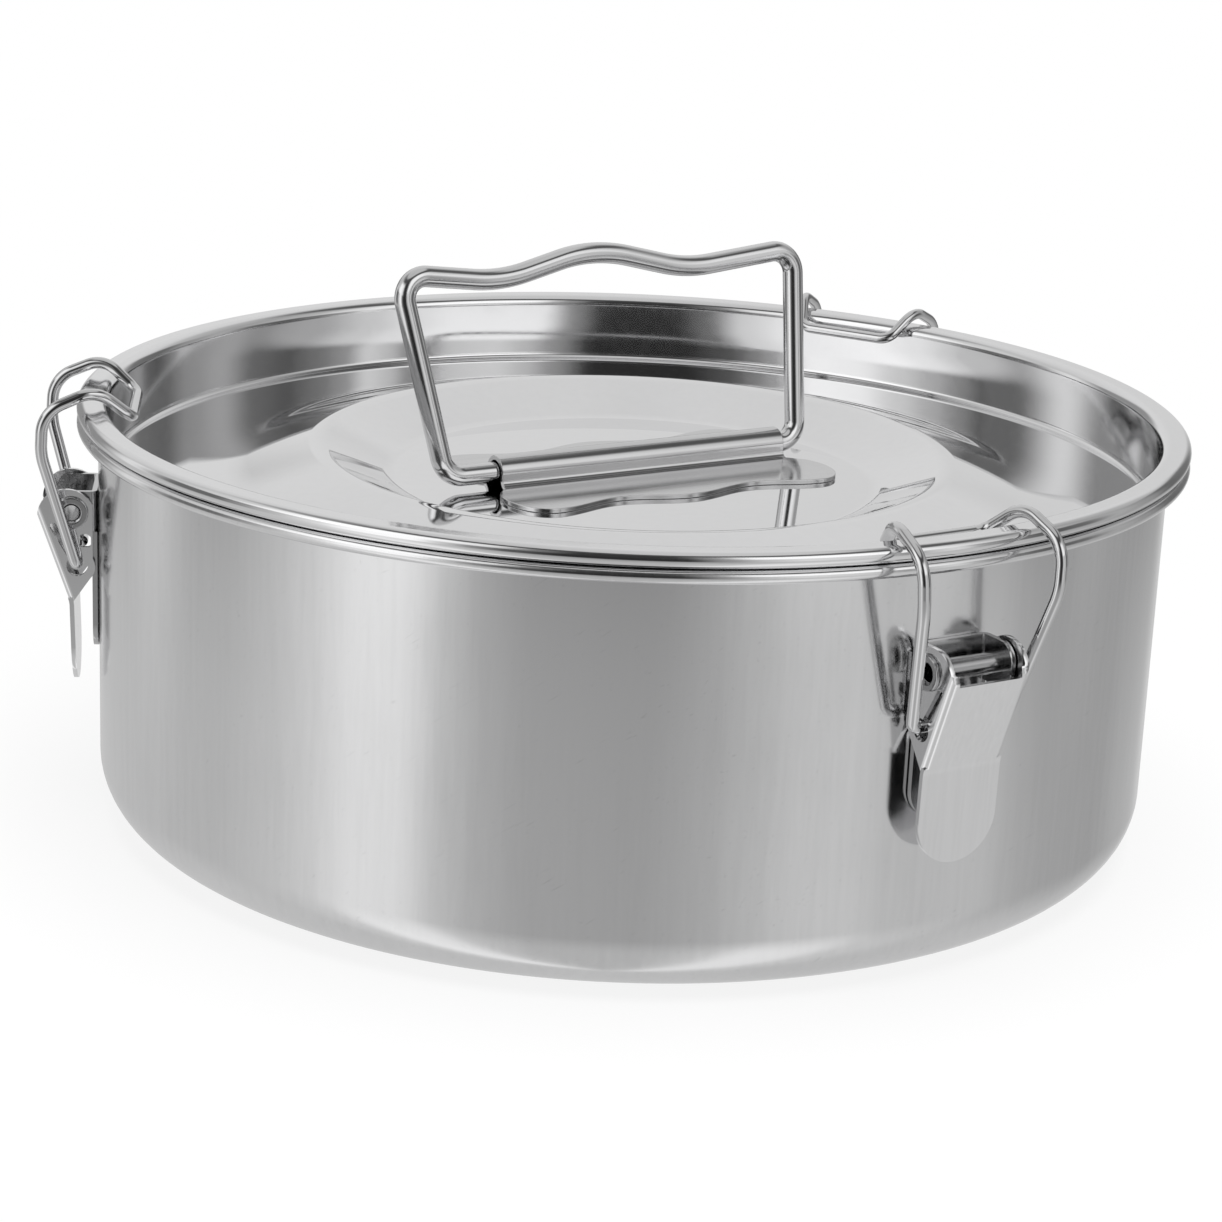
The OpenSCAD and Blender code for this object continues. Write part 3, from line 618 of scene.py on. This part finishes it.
def stamped_part(node, body, width, name):
    """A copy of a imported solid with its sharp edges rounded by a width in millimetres."""
    work = bmesh.new()
    work.from_mesh(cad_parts[node].data)
    bmesh.ops.remove_doubles(work, verts=work.verts, dist=SAME_PLACE)
    bmesh.ops.dissolve_limit(work, angle_limit=FLAT, verts=work.verts, edges=work.edges)
    mesh = bpy.data.meshes.new(name)
    work.to_mesh(mesh)
    work.free()
    mesh.shade_smooth()
    piece = bpy.data.objects.new(name, mesh)
    bpy.context.collection.objects.link(piece)
    edge = piece.modifiers.new("edge", "BEVEL")
    edge.width = width * MM
    edge.segments = 2
    edge.limit_method = "ANGLE"
    edge.angle_limit = SHARP
    flat = piece.modifiers.new("flat", "WEIGHTED_NORMAL")
    flat.weight = 100
    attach(piece, body)
    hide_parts(node)
    print(name, len(mesh.vertices), "points,", len(mesh.polygons), "faces")
    return piece


stamped = {}
for latch in LATCHES:
    for part, body, width in (("bracket", "root", SHEET_EDGE), ("pin", "root", PIN_EDGE),
            ("lever", latch + "_lever", SHEET_EDGE)):
        node = latch + "_" + part
        stamped[node] = stamped_part(node, body, width, node + "_steel")

# %% [markdown]
# Each steel has its own finish. The surface is metal with a grey close to real stainless
# steel, and what tells one finish from another is fine: how rough it is, the fine lines
# that rolling, drawing or brushing leaves, soft dents in a pressed sheet, and smudges. An
# image of brushed steel could give them, but it would need unwrapping and would blur close
# up. Noise needs neither: stretched along the lines it gives them, and slow it gives the
# smudges.

# %% Noise helpers
MIDDLE = (0.3, 0.7)  # a noise seldom leaves this span


def noise(add, link, place, scale, detail, rough=.5):
    """One noise pattern, read at the given place."""
    node = add("ShaderNodeTexNoise")
    node.inputs["Scale"].default_value = scale
    node.inputs["Detail"].default_value = detail
    node.inputs["Roughness"].default_value = rough
    link(place, node.inputs["Vector"])
    return node.outputs["Fac"]


def spread(add, link, value, low, high, span=MIDDLE):
    """Carries a value's span over to low and high, and holds it there beyond the span."""
    node = add("ShaderNodeMapRange")
    node.inputs["From Min"].default_value = span[0]
    node.inputs["From Max"].default_value = span[1]
    node.inputs["To Min"].default_value = low
    node.inputs["To Max"].default_value = high
    link(value, node.inputs["Value"])
    return node.outputs[0]


def squeezed(add, link, source, turns, scale):
    """The same coordinates turned by an angle about each axis and divided by a scale, so
    that a noise read there is as many times longer along each axis."""
    node = add("ShaderNodeMapping", vector_type="TEXTURE")
    node.inputs["Rotation"].default_value = [radians(turn) for turn in turns]
    node.inputs["Scale"].default_value = scale
    link(source, node.inputs["Vector"])
    return node.outputs[0]


def bump(add, link, height, depth, below=None):
    """A bump of a depth in millimetres, on top of another one if there is one below."""
    node = add("ShaderNodeBump")
    node.inputs["Strength"].default_value = 1
    node.inputs["Distance"].default_value = depth * MM
    link(height, node.inputs["Height"])
    if below:
        link(below, node.inputs["Normal"])
    return node.outputs[0]


print("noise is read between", *MIDDLE)

# %% Worn and satin places
SATIN_STEP = 1.5  # how far the change from bright to satin takes, in millimetres
SATIN_PLAY = .25  # share by which the satin's roughness varies
SCRATCH_TILTS = (40, -65)
SCRATCH_SCALE, SCRATCH_LENGTH = 2200, 70
SCRATCH_PEAKS = (.70, .80)  # only the highest peaks of the noise are scratches


def satin_beyond(add, link, source, lines, roughness, start, satin):
    """The roughness runs over to the satin one where the distance from the Z axis, the
    length of (x, y), passes the start."""
    level = add("ShaderNodeVectorMath", operation="MULTIPLY")
    level.inputs[1].default_value = (1, 1, 0)
    link(source, level.inputs[0])
    radius = add("ShaderNodeVectorMath", operation="LENGTH")
    link(level.outputs[0], radius.inputs[0])
    beyond = add("ShaderNodeMapRange", interpolation_type="SMOOTHSTEP")
    beyond.inputs["From Min"].default_value = start * MM
    beyond.inputs["From Max"].default_value = (start + SATIN_STEP) * MM
    link(radius.outputs["Value"], beyond.inputs["Value"])
    blend = add("ShaderNodeMix", data_type="FLOAT")
    link(beyond.outputs[0], blend.inputs["Factor"])
    link(roughness, blend.inputs["A"])
    link(spread(add, link, lines, satin * (1 - SATIN_PLAY), satin * (1 + SATIN_PLAY)),
        blend.inputs["B"])
    return blend.outputs["Result"]


def scratched(add, link, source, shade, share):
    """Scratches are the thin peaks of two noises that are squeezed along a slope, and each
    takes its share off the shade."""
    for tilt in SCRATCH_TILTS:
        slope = squeezed(add, link, source, (tilt, tilt, tilt), (1, 1, SCRATCH_LENGTH))
        marks = spread(add, link, noise(add, link, slope, SCRATCH_SCALE, 1), 1, 1 - share,
            SCRATCH_PEAKS)
        worn = add("ShaderNodeMath", operation="MULTIPLY")
        link(shade, worn.inputs[0])
        link(marks, worn.inputs[1])
        shade = worn.outputs[0]
    return shade


print("scratches are", SCRATCH_LENGTH, "times as long as wide")

# %% Steel
LINE_DETAIL, LINE_ROUGH = 5, .6
SMUDGE_SCALE, SMUDGE_DETAIL = 38, 3
SWELL_SCALE = 26
BLUE = 1.006  # stainless steel is very slightly blue


def steel(name, grey, rough, line_scale, stretch, line_depth, turn=0, wave_depth=0,
          rough_play=.3, grey_play=.05, attribute=None, satin=None, scratches=0):
    """Fine lines are a noise on coordinates that are squeezed along the lines. Roughness
    and grey are their own value times one plus a share of the lines and of a slow smudge.
    Satin is a radius, and the roughness that the steel has beyond it."""
    material = bpy.data.materials.new(name)
    material.use_nodes = True
    tree = material.node_tree
    add = new_nodes(tree)
    link = tree.links.new
    shader = add("ShaderNodeBsdfPrincipled")
    shader.inputs["Metallic"].default_value = 1
    out = add("ShaderNodeOutputMaterial")
    link(shader.outputs[0], out.inputs["Surface"])
    if attribute:
        source = add("ShaderNodeAttribute", attribute_name=attribute).outputs["Vector"]
    else:
        source = add("ShaderNodeTexCoord").outputs["Object"]
    lines = noise(add, link, squeezed(add, link, source, (0, 0, turn), stretch), line_scale,
        LINE_DETAIL, LINE_ROUGH)
    smudge = noise(add, link, source, SMUDGE_SCALE, SMUDGE_DETAIL)
    mixed = add("ShaderNodeMath", operation="ADD")
    link(spread(add, link, lines, -.5, .5), mixed.inputs[0])
    link(spread(add, link, smudge, -.5, .5), mixed.inputs[1])
    play = mixed.outputs[0]
    roughness = spread(add, link, play, rough * (1 - rough_play), rough * (1 + rough_play),
        (-1, 1))
    if satin:
        roughness = satin_beyond(add, link, source, lines, roughness, *satin)
    link(roughness, shader.inputs["Roughness"])
    shade = spread(add, link, play, 1 - grey_play, 1 + grey_play, (-1, 1))
    if scratches:
        shade = scratched(add, link, source, shade, scratches)
    tint = add("ShaderNodeMix", data_type="RGBA", blend_type="MULTIPLY")
    tint.inputs["Factor"].default_value = 1
    tint.inputs["A"].default_value = (grey, grey, grey * BLUE, 1)
    link(shade, tint.inputs["B"])
    link(tint.outputs["Result"], shader.inputs["Base Color"])
    swell = None
    if wave_depth:
        swell = bump(add, link, noise(add, link, source, SWELL_SCALE, 1), wave_depth)
    link(bump(add, link, lines, line_depth, swell), shader.inputs["Normal"])
    return material


# %% [markdown]
# The pan is satin rolled sheet with fine scratches, and its lines run up the wall. The lid
# is a mirror that turns satin on its wall and rim, because the press draws the sheet there.
# The strap is brushed along its length, and the bail and loops keep the lines of the
# drawing die, so their lines follow the wire's own grain attribute. The latch sheets are
# plain steel, but the bracket and pin greys are set low: partly their own grey, partly
# painted shade for the dark reflection between the bracket's ears. The lever's grey and
# roughness are set higher, so that it reads lighter against the wall behind it.

# %% The steels
# Name, grey, roughness, line scale, stretch of the lines (x, y, z), depth of the lines
pan_steel = steel("pan_satin", .81, .14, 700, (1, 1, 14), .00015, rough_play=.35,
    grey_play=.045, wave_depth=.02, scratches=.08)
lid_steel = steel("lid_mirror", .82, .035, 500, (1, 1, 1), .0001, rough_play=.5,
    grey_play=.02, wave_depth=.012, satin=(92.5, .10))
strap_steel = steel("strap_brushed", .64, .13, 1500, (40, 1, 1), .0006, turn=HANDLE_AZ,
    rough_play=.4, grey_play=.08)
bail_steel = steel("bail_drawn", .72, .12, 1700, (1, 1, 60), .0008, rough_play=.4,
    grey_play=.10, attribute="grain")
# The bracket's and pin's low greys are partly painted shade, for the dark reflection between the
# bracket's ears
bracket_steel = steel("bracket_painted_shade", .58, .15, 1500, (1, 1, 12), .0008, rough_play=.35)
pin_steel = steel("pin_turned_painted_shade", .50, .17, 1200, (1, 1, 1), .0006)
lever_steel = steel("lever_satin", .90, .13, 1300, (1, 1, 30), .0006, rough_play=.35,
    wave_depth=.004)
loop_steel = steel("loop_bright", .69, .08, 1700, (1, 1, 60), .0006, rough_play=.35,
    attribute="grain")
print(len(bpy.data.materials), "materials")

# %% [markdown]
# Each piece takes its steel. The list also gives the record's material slot that it stands for,
# but nothing below uses that name. The steels could be given to each piece where it is made,
# but in one place they are easy to compare and to swap.

# %% Dress the pieces
dress = [(pan_shell, pan_steel, "pan_steel"), (lid_shell, lid_steel, "lid_steel"),
    (strap, strap_steel, "strap_steel"), (bail_wire, bail_steel, "bail_wire")]
for latch in LATCHES:
    dress += [(loop_wires[latch], loop_steel, "loop_wire"),
        (stamped[latch + "_bracket"], bracket_steel, "bracket_steel"),
        (stamped[latch + "_pin"], pin_steel, "pin_steel"),
        (stamped[latch + "_lever"], lever_steel, "lever_steel")]
for piece, material, slot in dress:
    piece.data.materials.append(material)
print(len(dress), "pieces dressed")
